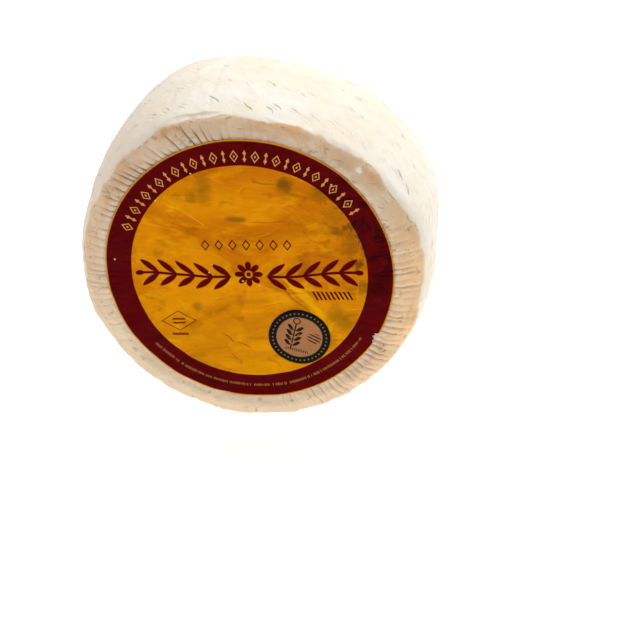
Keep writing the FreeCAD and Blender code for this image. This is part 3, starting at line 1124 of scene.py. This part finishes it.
def sealMaterial():
    palette = sealLook
    look = Finish("seal_printed_paper")
    turned = look.place(shift=tuple(sealMiddle), turn=(0, math.radians(seal["turn"]), 0))
    right, _, up = look.split(look.scaled(turned, 1 / sealRadius))
    radius = lengthOf(right, up)
    degrees = up.math("ARCTAN2", right) * (180 / math.pi)
    wear = look.noise(look.place(), palette["wearScale"], 4.0, 0.6)
    inside = look.fade(radius, palette["inner"] + 0.02, palette["inner"] - 0.02)

    cells = degrees / palette["beadPitch"]
    besideBead = abs(cells - cells.floor() - 0.5) * (math.radians(palette["beadPitch"]) * palette["beadsAt"])
    beads = look.fade(lengthOf(besideBead, radius - palette["beadsAt"]), palette["bead"], 0.022)
    hatch = look.fade(abs((right + up * 0.3) * 16.0 % 1.0 - 0.5), 0.30, 0.18)
    ground = look.fade(abs(up + 0.50), 0.055, 0.045) * look.fade(abs(right), 0.40, 0.37)
    branchRight, branchUp = palette["branch"]
    scaleRight, scaleUp = palette["branchScale"]
    branch = sprig(look, (right - branchRight) * scaleRight, (up - branchUp) * scaleUp)
    oval = filled(look, ellipseAt(right, up, *palette["oval"]), 0.1)
    stripes = look.fade(abs((up + right * 0.25) * 9.0 % 1.0 - 0.5), 0.24, 0.16) * oval
    emblem = strongest([branch, ground * hatch, stripes])
    colour = look.layers(
        palette["dark"],
        (inside, 1.0, look.blend(wear * 0.35, palette["tan"], palette["wornTan"])),
        (beads, 0.75, palette["print"]),
        (emblem * inside, look.fade(wear, 0.30, 0.42), palette["emblem"]),
    )
    settings = {
        "Base Color": colour,
        "Roughness": palette["rough"],
        "Specular IOR Level": palette["specular"],
    }
    return look.surface(settings, wear * 0.1)


stage = dict(
    floorSize=60.0,
    floor=linear(250, 250, 250),
    floorRough=0.9,
    floorGlow=0.6,  # the floor is a light table
    world=0.2,
    worldColour=(1.0, 0.99, 0.98, 1.0),
    aim=(0, 0, 0.09),
    # lamps: name, place, size, watts
    lamps=[
        ("key_behind", (0.45, 0.55, 1.05), 0.8, 10),
        ("top", (-0.1, -0.1, 1.4), 1.4, 6),
        ("left", (-1.0, 0.1, 0.7), 1.0, 1.7),
    ],
)
# where the camera stands, seen from the middle of the label
view = dict(
    azimuth=6.0421,  # degrees from straight ahead
    elevation=30.7611,
    roll=0.2600,
    distance=0.70901,
    aside=0.03378,  # to the right of the label's middle, and below it, as the camera sees it
    below=0.02137,
    lens=84.375,
    sensor=36.0,
    clip=0.01,
)


def makeFloor():
    half = stage["floorSize"] / 2
    corners = np.array([[-half, -half, 0], [half, -half, 0], [half, half, 0], [-half, half, 0]])
    floor = meshPiece("floor", corners, [(0, 1, 2, 3)])
    settings = {
        "Base Color": stage["floor"],
        "Roughness": stage["floorRough"],
        "Emission Color": (1, 1, 1, 1),
        "Emission Strength": stage["floorGlow"],
    }
    floor.data.materials.append(Finish("floor_pale").surface(settings))


def makeLights():
    world = bpy.data.worlds.new("soft_studio")
    world.use_nodes = True
    background = world.node_tree.nodes["Background"]
    background.inputs["Color"].default_value = stage["worldColour"]
    background.inputs["Strength"].default_value = stage["world"]
    bpy.context.scene.world = world
    for name, at, size, watts in stage["lamps"]:
        data = bpy.data.lights.new(name, "AREA")
        data.shape = "DISK"
        data.size = size
        data.energy = watts
        lamp = bpy.data.objects.new(name, data)
        lamp.location = at
        lamp.rotation_euler = (Vector(stage["aim"]) - Vector(at)).to_track_quat("-Z", "Y").to_euler()
        bpy.context.collection.objects.link(lamp)


def makeCamera():
    data = bpy.data.cameras.new("camera")
    data.sensor_width = view["sensor"]
    data.lens = view["lens"]
    data.clip_start = view["clip"]
    camera = bpy.data.objects.new("camera", data)
    azimuth, elevation, roll = [math.radians(view[key]) for key in ("azimuth", "elevation", "roll")]
    turned = Euler((math.pi / 2 - elevation, 0, azimuth)).to_matrix() @ Matrix.Rotation(roll, 3, "Z")
    camera.matrix_world = turned.to_4x4()
    camera.location = labelMiddle + turned @ Vector((view["aside"], -view["below"], view["distance"]))
    bpy.context.collection.objects.link(camera)
    bpy.context.scene.camera = camera


def main():
    bpy.context.scene.view_settings.view_transform = "Standard"
    makeCamera()
    makeLights()
    makeFloor()
    print("stage, lights and camera are set")
    makeRind().data.materials.append(rindMaterial())
    print("rind is made")
    makeLabel().data.materials.append(labelMaterial())
    print("label is made")
    makeSeal().data.materials.append(sealMaterial())
    print("seal is made")


main()
